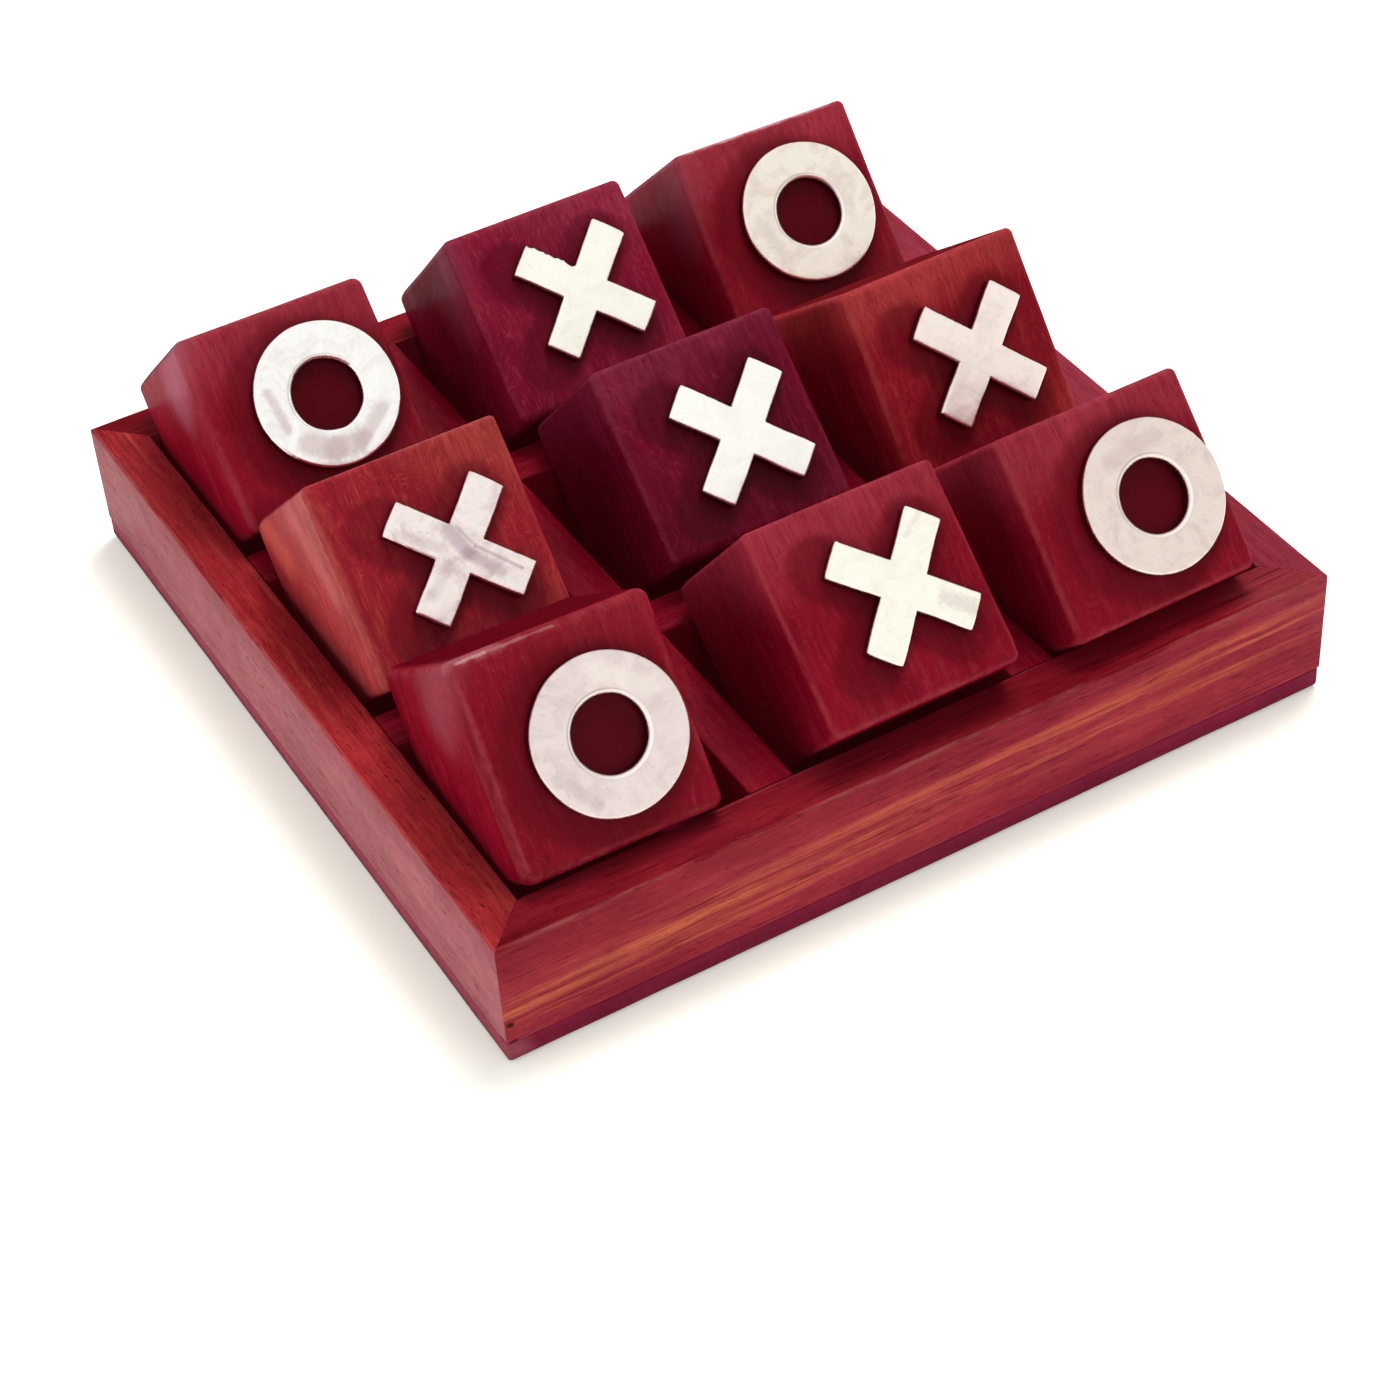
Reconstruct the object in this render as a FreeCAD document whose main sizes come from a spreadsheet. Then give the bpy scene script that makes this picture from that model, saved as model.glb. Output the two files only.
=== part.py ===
import FreeCAD
import Part
import math
import os
import Sketcher

# A noughts-and-crosses set: nine loose cubes in a square wooden tray.
# Lengths are millimetres and angles degrees. +X runs along the front rail,
# +Y from front to back, +Z up. The origin is the middle of the tray's underside.

DIMENSIONS = {
    # tray
    "cell_size": 39.4,
    "divider_thickness": 7.9,
    "rail_width": 8.0,
    "rail_height": 19.7,
    "rail_edge_radius": 0.5,
    "base_thickness": 4.1,
    "base_edge_radius": 1.0,
    "floor_height": 6.5,
    # cubes
    "cube_thickness": 34.1,
    "cube_edge_radius": 1.6,
    "resting_gap": 0.02,
    # raised metal marks
    "mark_height": 2.2,
    "mark_edge_radius": 0.35,
    "ring_outer_radius": 12.5,
    "ring_bore_radius": 5.9,
    "cross_half_length": 12.4,
    "cross_arm_width": 6.2,
}

# Where each cube lies: column and row counted from the front left, and its mark.
CUBES = {
    "front_left": (0, 0, "ring"),
    "front_centre": (1, 0, "cross"),
    "front_right": (2, 0, "ring"),
    "middle_left": (0, 1, "cross"),
    "middle_centre": (1, 1, "cross"),
    "middle_right": (2, 1, "cross"),
    "back_left": (0, 2, "ring"),
    "back_centre": (1, 2, "cross"),
    "back_right": (2, 2, "ring"),
}

# How each cube lies: sideways shift from the middle of its cell, place of its
# lowest edge front to back, tilt of its marked face from level, and turn about
# the vertical.
LIE = {
    "front_left": (-1.75, 4.4, 52.0, -1.4),
    "front_centre": (1.85, -2.6, 40.7, -0.2),
    "front_right": (-1.45, -0.4, 46.5, 0.4),
    "middle_left": (-0.9, 2.75, 46.7, 0.1),
    "middle_centre": (2.7, 0.0, 42.8, 0.0),
    "middle_right": (0.3, 4.2, 52.3, 1.0),
    "back_left": (-1.45, 2.45, 46.3, 0.0),
    "back_centre": (0.85, 0.35, 43.6, 0.0),
    "back_right": (-1.6, 2.6, 47.2, -1.4),
}

# Hand-cut sizes of each cube: width along the rail, and length up the slope.
CUT = {
    "front_left": (33.6, 34.9),
    "front_centre": (33.9, 34.1),
    "front_right": (34.5, 34.2),
    "middle_left": (33.9, 34.2),
    "middle_centre": (33.9, 34.1),
    "middle_right": (34.3, 34.1),
    "back_left": (34.4, 33.9),
    "back_centre": (34.1, 34.1),
    "back_right": (34.4, 34.3),
}

# Where each mark is fixed: right of and above the face's middle, and its turn.
FIXED = {
    "front_left": (2.8, -0.8, 0.0),
    "front_centre": (2.9, 0.25, 3.8),
    "front_right": (3.7, -0.4, 0.0),
    "middle_left": (2.4, -0.85, 0.6),
    "middle_centre": (2.5, -0.8, 0.5),
    "middle_right": (2.05, -0.6, 0.1),
    "back_left": (3.2, 0.0, 0.0),
    "back_centre": (2.5, 0.65, 1.1),
    "back_right": (2.25, 0.15, 0.0),
}

# Lengths made of several driving dimensions: how many of each they hold.
HALF_TRAY = {"cell_size": 1.5, "divider_thickness": 1.0, "rail_width": 1.0}
HALF_OPENING = {"cell_size": 1.5, "divider_thickness": 1.0}
NOTCH_NEAR = {"cell_size": 0.5}
NOTCH_FAR = {"cell_size": 0.5, "divider_thickness": 1.0}
CELL_PITCH = {"cell_size": 1.0, "divider_thickness": 1.0}
DIVIDER_TOP = {"base_thickness": 1.0, "rail_height": 1.0, "floor_height": -1.0}
DIVIDER_MIDDLE = {"base_thickness": 0.5, "rail_height": 0.5, "floor_height": -0.5}
HALF_THICKNESS = {"cube_thickness": 0.5}
HALF_ARM = {"cross_arm_width": 0.5}
ARM_END = {"cross_half_length": 1.0}
ZERO = {}

document = FreeCAD.newDocument("NoughtsAndCrosses")
sheet = document.addObject("Spreadsheet::Sheet", "Dimensions")


def add_entries(entries, name, qualities, values):
    """Add the numbers that belong to one cube, each under a name of its own."""
    for quality, value in zip(qualities, values):
        entries[f"{name}_{quality}"] = value


def write_sheet():
    """Write every driving dimension into the spreadsheet under its own name."""
    entries = dict(DIMENSIONS)
    for name in CUBES:
        add_entries(entries, name, ("shift", "foot", "tilt", "turn"), LIE[name])
        add_entries(entries, name, ("width", "slope"), CUT[name])
        add_entries(entries, name, ("mark_right", "mark_up", "mark_turn"), FIXED[name])
    for line, (alias, value) in enumerate(entries.items(), start=1):
        sheet.set(f"A{line}", alias)
        sheet.set(f"B{line}", str(value))
        sheet.setAlias(f"B{line}", alias)
    document.recompute()


def size(alias):
    """The number the spreadsheet holds under this name."""
    return float(sheet.get(alias))


def amount(length):
    """The value of a length made of several dimensions."""
    return sum(share * size(alias) for alias, share in length.items())


def formula(length):
    """The same length as an expression that reads the spreadsheet."""
    return " + ".join(f"({share}) * Dimensions.{alias}" for alias, share in length.items())


def minus(length):
    return {alias: -share for alias, share in length.items()}


def new_body(label):
    body = document.addObject("PartDesign::Body", label)
    body.Label = label
    return body


def new_sketch(body, name, role):
    """A sketch on one of the three planes of the body's own origin."""
    planes = [plane for plane in body.Origin.OriginFeatures if plane.Role == role]
    sketch = body.newObject("Sketcher::SketchObject", name)
    sketch.AttachmentSupport = [(planes[0], "")]
    sketch.MapMode = "FlatFace"
    return sketch


def draw_outline(sketch, corners):
    """Draw a closed outline, each corner held by lengths from the spreadsheet."""
    points = [FreeCAD.Vector(amount(across), amount(along), 0) for across, along in corners]
    count = len(points)
    for index in range(count):
        sketch.addGeometry(Part.LineSegment(points[index], points[(index + 1) % count]), False)
    for index in range(count):
        following = (index + 1) % count
        sketch.addConstraint(Sketcher.Constraint("Coincident", index, 2, following, 1))
    for index, (across, along) in enumerate(corners):
        hold_corner(sketch, index, "DistanceX", across, -2)
        hold_corner(sketch, index, "DistanceY", along, -1)


def hold_corner(sketch, index, kind, length, axis):
    """Hold one coordinate of a corner, on the sketch axis where it is zero."""
    if length == ZERO:
        sketch.addConstraint(Sketcher.Constraint("PointOnObject", index, 1, axis))
        return
    held = Sketcher.Constraint(kind, -1, 1, index, 1, amount(length))
    number = sketch.addConstraint(held)
    sketch.setExpression(f"Constraints[{number}]", formula(length))


def draw_rectangle(sketch, across, along):
    """Draw a rectangle about the sketch origin from its two half sizes."""
    draw_outline(sketch, [
        (minus(across), minus(along)), (across, minus(along)), (across, along), (minus(across), along),
    ])


def draw_circle(sketch, radius):
    """Draw a circle about the sketch origin."""
    circle = Part.Circle(FreeCAD.Vector(0, 0, 0), FreeCAD.Vector(0, 0, 1), size(radius))
    index = sketch.addGeometry(circle, False)
    sketch.addConstraint(Sketcher.Constraint("Coincident", index, 3, -1, 1))
    number = sketch.addConstraint(Sketcher.Constraint("Radius", index, size(radius)))
    sketch.setExpression(f"Constraints[{number}]", f"Dimensions.{radius}")


def pad(body, sketch, length):
    """Raise a sketch into a solid."""
    document.recompute()
    feature = body.newObject("PartDesign::Pad", "Pad")
    feature.Profile = sketch
    feature.Length = size(length)
    feature.setExpression("Length", f"Dimensions.{length}")
    body.Tip = feature
    document.recompute()
    return feature


def round_edges(body, base, radius, wanted):
    """Round the edges of a feature that the wanted test picks out."""
    names = [f"Edge{number}" for number, edge in enumerate(base.Shape.Edges, start=1) if wanted(edge)]
    if not names:
        raise RuntimeError(f"{body.Label} has no edge to round")
    feature = body.newObject("PartDesign::Fillet", "Fillet")
    feature.Base = (base, names)
    feature.Radius = size(radius)
    feature.setExpression("Radius", f"Dimensions.{radius}")
    body.Tip = feature
    document.recompute()


def level_with(value, target):
    return abs(value - target) < 1e-6


def stand_on_base(body, across, along, level, turn):
    """Stand a body on one level of the base board, turned about the vertical."""
    position = FreeCAD.Vector(across, along, size(level))
    body.Placement = FreeCAD.Placement(position, FreeCAD.Rotation(turn, 0, 0))
    body.setExpression(".Placement.Base.z", f"Dimensions.{level}")


def build_base_board():
    """The board under the rails, rebated so that its middle fills the opening.

    The rails stand on the thin border, flush with it on all four sides. The
    thicker middle is the floor of the cells.
    """
    body = new_body("base_board")
    border_sketch = new_sketch(body, "BoardPlan", "XY_Plane")
    draw_rectangle(border_sketch, HALF_TRAY, HALF_TRAY)
    board = pad(body, border_sketch, "base_thickness")
    round_edges(body, board, "base_edge_radius", lambda edge: level_with(edge.BoundBox.ZMax, 0))
    floor_sketch = new_sketch(body, "FloorPlan", "XY_Plane")
    draw_rectangle(floor_sketch, HALF_OPENING, HALF_OPENING)
    pad(body, floor_sketch, "floor_height")
    return body


def build_rail(label, quarter_turns):
    """One mitred rail; the four differ only by quarter turns about the tray."""
    body = new_body(label)
    sketch = new_sketch(body, "RailPlan", "XY_Plane")
    draw_outline(sketch, [
        (minus(HALF_TRAY), minus(HALF_TRAY)),
        (HALF_TRAY, minus(HALF_TRAY)),
        (HALF_OPENING, minus(HALF_OPENING)),
        (minus(HALF_OPENING), minus(HALF_OPENING)),
    ])
    rail = pad(body, sketch, "rail_height")

    def outer_and_top(edge):
        box = edge.BoundBox
        return level_with(box.YMax, -amount(HALF_TRAY)) and level_with(box.ZMin, size("rail_height"))

    round_edges(body, rail, "rail_edge_radius", outer_and_top)
    stand_on_base(body, 0, 0, "base_thickness", 90 * quarter_turns)
    return body


def build_divider(label, side, runs_front_to_back):
    """A divider halved over the two it crosses.

    The front-to-back dividers are notched from above and the others from below,
    each to half the height, so all four lie flush with the rails.
    """
    body = new_body(label)
    sketch = new_sketch(body, "DividerElevation", "XZ_Plane")
    notched, plain = (DIVIDER_TOP, ZERO) if runs_front_to_back else (ZERO, DIVIDER_TOP)
    draw_outline(sketch, [
        (minus(HALF_OPENING), notched),
        (minus(NOTCH_FAR), notched),
        (minus(NOTCH_FAR), DIVIDER_MIDDLE),
        (minus(NOTCH_NEAR), DIVIDER_MIDDLE),
        (minus(NOTCH_NEAR), notched),
        (NOTCH_NEAR, notched),
        (NOTCH_NEAR, DIVIDER_MIDDLE),
        (NOTCH_FAR, DIVIDER_MIDDLE),
        (NOTCH_FAR, notched),
        (HALF_OPENING, notched),
        (HALF_OPENING, plain),
        (minus(HALF_OPENING), plain),
    ])
    pad(body, sketch, "divider_thickness")
    half = size("divider_thickness") / 2
    offset = side * amount(CELL_PITCH) / 2
    if runs_front_to_back:
        stand_on_base(body, offset - half, 0, "floor_height", 90)
    else:
        stand_on_base(body, 0, offset + half, "floor_height", 0)
    return body


def resting_frame(name):
    """The frame at the middle of a cube that stands on one edge in its cell.

    Its x axis runs along the cube, its y axis up the slope and its z axis is
    square to the marked face. The rounded lowest edge rests on the cell floor.
    """
    column, row, _ = CUBES[name]
    tilt = math.radians(size(f"{name}_tilt"))
    half_slope = size(f"{name}_slope") / 2
    half_thickness = amount(HALF_THICKNESS)
    radius = size("cube_edge_radius")
    centre_y = size(f"{name}_foot") + half_slope * math.cos(tilt) - half_thickness * math.sin(tilt)
    rise = (half_slope - radius) * math.sin(tilt) + (half_thickness - radius) * math.cos(tilt)
    position = FreeCAD.Vector(
        (column - 1) * amount(CELL_PITCH) + size(f"{name}_shift"),
        (row - 1) * amount(CELL_PITCH) + centre_y,
        size("floor_height") + radius + rise + size("resting_gap"),
    )
    return FreeCAD.Placement(position, FreeCAD.Rotation(size(f"{name}_turn"), 0, size(f"{name}_tilt")))


def build_cube(name):
    """A wooden cube with every edge softened."""
    body = new_body(f"block_{name}")
    sketch = new_sketch(body, "CubeOutline", "XY_Plane")
    draw_rectangle(sketch, {f"{name}_width": 0.5}, {f"{name}_slope": 0.5})
    block = pad(body, sketch, "cube_thickness")
    round_edges(body, block, "cube_edge_radius", lambda edge: True)
    lowered = FreeCAD.Placement(FreeCAD.Vector(0, 0, -amount(HALF_THICKNESS)), FreeCAD.Rotation())
    body.Placement = resting_frame(name).multiply(lowered)
    return body


def draw_plus(sketch):
    """The outline of an upright plus sign, turned into an X where it is placed."""
    end, half = ARM_END, HALF_ARM
    draw_outline(sketch, [
        (minus(half), minus(end)), (half, minus(end)), (half, minus(half)),
        (end, minus(half)), (end, half), (half, half),
        (half, end), (minus(half), end), (minus(half), half),
        (minus(end), half), (minus(end), minus(half)), (minus(half), minus(half)),
    ])


def build_mark(name):
    """The raised metal ring or cross fixed on a cube's marked face."""
    kind = CUBES[name][2]
    body = new_body(f"{kind}_{name}")
    sketch = new_sketch(body, "MarkOutline", "XY_Plane")
    if kind == "ring":
        draw_circle(sketch, "ring_outer_radius")
        draw_circle(sketch, "ring_bore_radius")
        turn_on_face = size(f"{name}_mark_turn")
    else:
        draw_plus(sketch)
        turn_on_face = 45 + size(f"{name}_mark_turn")
    plate = pad(body, sketch, "mark_height")
    height = size("mark_height")
    round_edges(body, plate, "mark_edge_radius", lambda edge: level_with(edge.BoundBox.ZMin, height))
    seat = FreeCAD.Vector(size(f"{name}_mark_right"), size(f"{name}_mark_up"), amount(HALF_THICKNESS))
    on_face = FreeCAD.Placement(seat, FreeCAD.Rotation(turn_on_face, 0, 0))
    body.Placement = resting_frame(name).multiply(on_face)
    return body


def build_parts():
    parts = [build_base_board()]
    for quarter_turns, label in enumerate(("front_rail", "right_rail", "back_rail", "left_rail")):
        parts.append(build_rail(label, quarter_turns))
    parts.append(build_divider("long_divider_left", -1, True))
    parts.append(build_divider("long_divider_right", 1, True))
    parts.append(build_divider("cross_divider_front", -1, False))
    parts.append(build_divider("cross_divider_back", 1, False))
    for name in CUBES:
        parts.append(build_cube(name))
        parts.append(build_mark(name))
    return parts


def write_parts(parts):
    """Check every object, then write one STEP file for each part."""
    document.recompute()
    for feature in document.Objects:
        if "Invalid" in feature.State or "Error" in feature.State:
            raise RuntimeError(f"{feature.Name} did not compute: {feature.State}")
    os.makedirs("parts", exist_ok=True)
    for body in parts:
        shape = body.Shape
        if shape.isNull() or not shape.isValid() or len(shape.Solids) != 1:
            raise RuntimeError(f"{body.Label} is not one valid solid")
        shape.exportStep(os.path.join("parts", f"{body.Label}.step"))


write_sheet()
write_parts(build_parts())
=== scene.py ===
import math

import bmesh
import bpy
from mathutils import Matrix, Vector, noise


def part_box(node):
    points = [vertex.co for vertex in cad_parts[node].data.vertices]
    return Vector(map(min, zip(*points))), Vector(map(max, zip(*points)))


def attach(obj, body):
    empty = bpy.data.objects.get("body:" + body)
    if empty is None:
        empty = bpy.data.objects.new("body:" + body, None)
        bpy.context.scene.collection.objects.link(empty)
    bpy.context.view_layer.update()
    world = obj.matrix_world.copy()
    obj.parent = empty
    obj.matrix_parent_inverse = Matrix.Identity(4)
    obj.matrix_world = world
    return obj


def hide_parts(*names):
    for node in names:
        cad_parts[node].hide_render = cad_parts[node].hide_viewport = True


# The looks of a tic tac toe set: a stained wooden tray, nine loose wooden cubes
# lying on edge in its cells, and a raised metal ring or cross on each cube.
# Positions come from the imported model. Lengths in this file are millimetres
# until they are multiplied by MM.

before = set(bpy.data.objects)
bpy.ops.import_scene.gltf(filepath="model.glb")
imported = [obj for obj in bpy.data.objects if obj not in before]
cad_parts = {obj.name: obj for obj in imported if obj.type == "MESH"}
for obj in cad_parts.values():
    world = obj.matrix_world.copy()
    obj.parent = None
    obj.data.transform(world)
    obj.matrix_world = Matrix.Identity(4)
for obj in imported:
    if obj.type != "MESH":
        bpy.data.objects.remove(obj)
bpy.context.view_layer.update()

MM = 0.001

# ---------------------------------------------------------------- measurements

RAIL_WIDTH = (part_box("front_rail")[1].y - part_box("front_rail")[0].y) / MM
TRAY_SIDE = (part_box("base_board")[1].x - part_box("base_board")[0].x) / MM
BASE_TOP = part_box("front_rail")[0].z / MM
FLOOR_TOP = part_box("base_board")[1].z / MM
RAIL_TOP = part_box("front_rail")[1].z / MM
DIVIDER = (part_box("long_divider_left")[1].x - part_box("long_divider_left")[0].x) / MM
CELL = (TRAY_SIDE - 2 * RAIL_WIDTH - 2 * DIVIDER) / 3
CUBE_THICKNESS = 34.1
MARK_HEIGHT = 2.2
MARK_FOOT = 0.2         # how far it reaches below the face
RING_OUTER = 12.5
RING_BORE = 5.9
CROSS_HALF = 12.4
CROSS_ARM = 6.2
MARK_WAIST = 0.8        # where a mark's wall is divided
MARK_RIM = 0.45         # rounding of a ring's outer rim
BORE_RIM = 0.8          # rounding of a ring's bore
GLUE_GAP = 0.03         # left where dividers are halved and round the cell floors
MITRE_GAP = 0.025
FULL_ROUNDING = 1.6     # a cube's edge where it passes a neighbour
STEPS_ALONG = 160       # along a rail, and round a ring
BAND_LEAN = 0.038       # how the pale band climbs along the front rail
CREASE = 50             # degrees between faces that keep a sharp edge
GRAIN_FINE, METAL_FINE = 0.5, 1.3

# name: mark, tilt of the marked face, turn about the vertical, width, length up
# the slope, then the mark's place right of and above the face's middle, and its turn
CUBES = {
    "front_left": ("ring", 52.0, -1.4, 33.6, 34.9, 2.8, -0.8, 0.0),
    "front_centre": ("cross", 40.7, -0.2, 33.9, 34.1, 2.9, 0.25, 3.8),
    "front_right": ("ring", 46.5, 0.4, 34.5, 34.2, 3.7, -0.4, 0.0),
    "middle_left": ("cross", 46.7, 0.1, 33.9, 34.2, 2.4, -0.85, 0.6),
    "middle_centre": ("cross", 42.8, 0.0, 33.9, 34.1, 2.5, -0.8, 0.5),
    "middle_right": ("cross", 52.3, 1.0, 34.3, 34.1, 2.05, -0.6, 0.1),
    "back_left": ("ring", 46.3, 0.0, 34.4, 33.9, 3.2, 0.0, 0.0),
    "back_centre": ("cross", 43.6, 0.0, 34.1, 34.1, 2.5, 0.65, 1.1),
    "back_right": ("ring", 47.2, -1.4, 34.4, 34.3, 2.25, 0.15, 0.0),
}


def wobble(point, scale, seed):
    """Smooth noise from about -1 to 1 at a point in millimetres."""
    return noise.noise(Vector(point) * scale + Vector((seed * 17.3, seed * 5.1, seed * 9.7)))


# ---------------------------------------------------------------- mesh building

def linked(name, data):
    item = bpy.data.objects.new(name, data)
    bpy.context.scene.collection.objects.link(item)
    return item


def mesh_object(name, verts, faces, crease=None, wear=None):
    """A smooth-shaded object from points in millimetres.

    Edges steeper than crease degrees stay sharp. wear says, point by point, how
    much of an edge it is.
    """
    mesh = bpy.data.meshes.new(name)
    mesh.from_pydata([tuple(c * MM for c in v) for v in verts], [], faces)
    mesh.validate()
    work = bmesh.new()
    work.from_mesh(mesh)
    bmesh.ops.recalc_face_normals(work, faces=work.faces)
    work.to_mesh(mesh)
    work.free()
    for polygon in mesh.polygons:
        polygon.use_smooth = True
    if wear is not None:
        mesh.attributes.new("wear", "FLOAT", "POINT").data.foreach_set("value", wear)
    if crease is not None:
        mesh.set_sharp_from_angle(angle=math.radians(crease))
    return linked(name, mesh)


def spaced(half, radius, arc_steps, flat_steps):
    """Stations along one side of a rounded box, close together on the rounding."""
    inner = half - radius
    arcs = [inner + radius * math.tan(math.radians(45 * k / arc_steps)) for k in range(arc_steps + 1)]
    flats = [-inner + 2 * inner * k / flat_steps for k in range(flat_steps + 1)]
    beside = min(0.35, inner / flat_steps)
    return [-a for a in reversed(arcs)] + [-inner + beside] + flats[1:-1] + [inner - beside] + arcs


def rounded_box(name, half, station_radius, radius_at, bulge_at, flat_steps=14, arc_steps=5):
    """A box whose rounding and faces vary a little, as sanded wood does.

    half is the half size on each axis; radius_at gives the edge radius near a
    point and bulge_at how far the surface stands out there.
    """
    stations = [spaced(h, station_radius, arc_steps, flat_steps) for h in half]
    counts = [len(s) for s in stations]
    index, verts, wear, faces = {}, [], [], []

    def vertex(i, j, k):
        key = (i, j, k)
        if key in index:
            return index[key]
        point = [stations[0][i], stations[1][j], stations[2][k]]
        radius = radius_at(point)
        core = []
        for a in range(3):
            inner = half[a] - radius
            value = point[a]
            limit = half[a] - station_radius
            if abs(value) > limit:
                beyond = (abs(value) - limit) / station_radius
                value = math.copysign(inner + radius * beyond, value)
            else:
                value = value * inner / limit
            point[a] = value
            core.append(max(-inner, min(inner, value)))
        out = Vector([p - c for p, c in zip(point, core)])
        rounding = sum(1 for a in range(3) if abs(out[a]) > 1e-6)
        out.normalize()
        spread = 1 - max(abs(out.x), abs(out.y), abs(out.z))
        radius += bulge_at(point)
        verts.append([c + o * radius for c, o in zip(core, out)])
        wear.append(min(1.0, spread / 0.2) if rounding > 1 else 0.0)
        index[key] = len(verts) - 1
        return index[key]

    for axis in range(3):
        b, c = (axis + 1) % 3, (axis + 2) % 3
        for end in (0, counts[axis] - 1):
            for j in range(counts[b] - 1):
                for k in range(counts[c] - 1):
                    quad = []
                    for dj, dk in ((0, 0), (1, 0), (1, 1), (0, 1)):
                        place = [0, 0, 0]
                        place[axis], place[b], place[c] = end, j + dj, k + dk
                        quad.append(vertex(*place))
                    faces.append(quad if end else quad[::-1])
    return mesh_object(name, verts, faces, wear=wear)


def prism(name, outline, height, rounding, segments):
    """An outline raised to a height, with its level edges rounded."""
    work = bmesh.new()
    base = [work.verts.new((x * MM, y * MM, 0)) for x, y in outline]
    floor = work.faces.new(base)
    raised = bmesh.ops.extrude_face_region(work, geom=[floor])
    tops = [e for e in raised["geom"] if isinstance(e, bmesh.types.BMVert)]
    bmesh.ops.translate(work, verts=tops, vec=(0, 0, height * MM))
    bmesh.ops.recalc_face_normals(work, faces=work.faces)

    def is_level(edge):
        top = all(abs(v.co.z - height * MM) < 1e-7 for v in edge.verts)
        low = all(abs(v.co.z) < 1e-7 for v in edge.verts)
        return edge.is_manifold and edge.calc_face_angle(0) > math.radians(45) and (top or low)

    level = [e for e in work.edges if is_level(e)]
    bmesh.ops.bevel(work, geom=level, offset=rounding * MM, segments=segments, profile=0.5, affect="EDGES")
    mesh = bpy.data.meshes.new(name)
    work.to_mesh(mesh)
    work.free()
    for polygon in mesh.polygons:
        polygon.use_smooth = True
    mesh.set_sharp_from_angle(angle=math.radians(40))
    return linked(name, mesh)


# ---------------------------------------------------------------- node helpers

class Nodes:
    """Small helper that adds nodes to one material and links them."""

    def __init__(self, name):
        self.material = bpy.data.materials.new(name)
        self.material.use_nodes = True
        self.tree = self.material.node_tree
        self.tree.nodes.clear()
        output = self.tree.nodes.new("ShaderNodeOutputMaterial")
        self.surface = self.tree.nodes.new("ShaderNodeBsdfPrincipled")
        self.tree.links.new(self.surface.outputs[0], output.inputs["Surface"])

    def put(self, socket, value):
        if isinstance(value, bpy.types.NodeSocket):
            self.tree.links.new(value, socket)
        elif isinstance(value, (tuple, list)) and len(value) == 3 and socket.type == "RGBA":
            socket.default_value = (*value, 1.0)
        else:
            socket.default_value = value

    def coordinates(self, offset):
        """Object coordinates in millimetres, moved so that each piece differs."""
        source = self.tree.nodes.new("ShaderNodeTexCoord").outputs["Object"]
        scaled = self.vector("SCALE", source, scale=1 / MM)
        return scaled, self.vector("ADD", scaled, offset)

    def vector(self, operation, a, b=None, scale=None):
        node = self.tree.nodes.new("ShaderNodeVectorMath")
        node.operation = operation
        self.put(node.inputs[0], a)
        if b is not None:
            self.put(node.inputs[1], b)
        if scale is not None:
            self.put(node.inputs["Scale"], scale)
        return node.outputs["Value"] if operation in ("LENGTH", "DOT_PRODUCT") else node.outputs["Vector"]

    def math(self, operation, a, b=0.0, c=0.0):
        node = self.tree.nodes.new("ShaderNodeMath")
        node.operation = operation
        self.put(node.inputs[0], a)
        self.put(node.inputs[1], b)
        self.put(node.inputs[2], c)
        return node.outputs[0]

    def noise(self, vector, scale, detail=3.0, roughness=0.55, distortion=0.0):
        node = self.tree.nodes.new("ShaderNodeTexNoise")
        self.put(node.inputs["Vector"], vector)
        node.inputs["Scale"].default_value = scale
        node.inputs["Detail"].default_value = detail
        node.inputs["Roughness"].default_value = roughness
        node.inputs["Distortion"].default_value = distortion
        return node.outputs["Fac"]

    def spread(self, value, low, high, out_low=0.0, out_high=1.0, smooth=True):
        node = self.tree.nodes.new("ShaderNodeMapRange")
        node.interpolation_type = "SMOOTHSTEP" if smooth else "LINEAR"
        self.put(node.inputs[0], value)
        for number, setting in enumerate((low, high, out_low, out_high), start=1):
            self.put(node.inputs[number], setting)
        return node.outputs[0]

    def mix(self, factor, a, b, blend="MIX"):
        node = self.tree.nodes.new("ShaderNodeMix")
        node.data_type = "RGBA"
        node.blend_type = blend
        self.put(node.inputs["Factor"], factor)
        self.put(node.inputs[6], a)
        self.put(node.inputs[7], b)
        return node.outputs[2]

    def layer(self, colour, tone, amount, strength):
        """The colour with a tone laid over it where amount is high."""
        return self.mix(self.math("MULTIPLY", amount, strength), colour, tone)

    def darker(self, colour, share):
        return self.mix(1.0, colour, (share, share, share), "MULTIPLY")

    def bump(self, height, strength, distance, normal=None):
        node = self.tree.nodes.new("ShaderNodeBump")
        node.inputs["Strength"].default_value = strength
        node.inputs["Distance"].default_value = distance * MM
        self.put(node.inputs["Height"], height)
        if normal is not None:
            self.put(node.inputs["Normal"], normal)
        return node.outputs[0]

    def parts(self, vector):
        node = self.tree.nodes.new("ShaderNodeSeparateXYZ")
        self.put(node.inputs[0], vector)
        return node.outputs

    def attribute(self, name):
        node = self.tree.nodes.new("ShaderNodeAttribute")
        node.attribute_name = name
        return node.outputs["Fac"]


def stretched(nodes, vector, along, across_scale, along_scale):
    """The vector squeezed so that noise drawn on it runs along the grain axis."""
    scales = [across_scale] * 3
    scales[along] = along_scale
    return nodes.vector("MULTIPLY", vector, tuple(scales))


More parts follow.
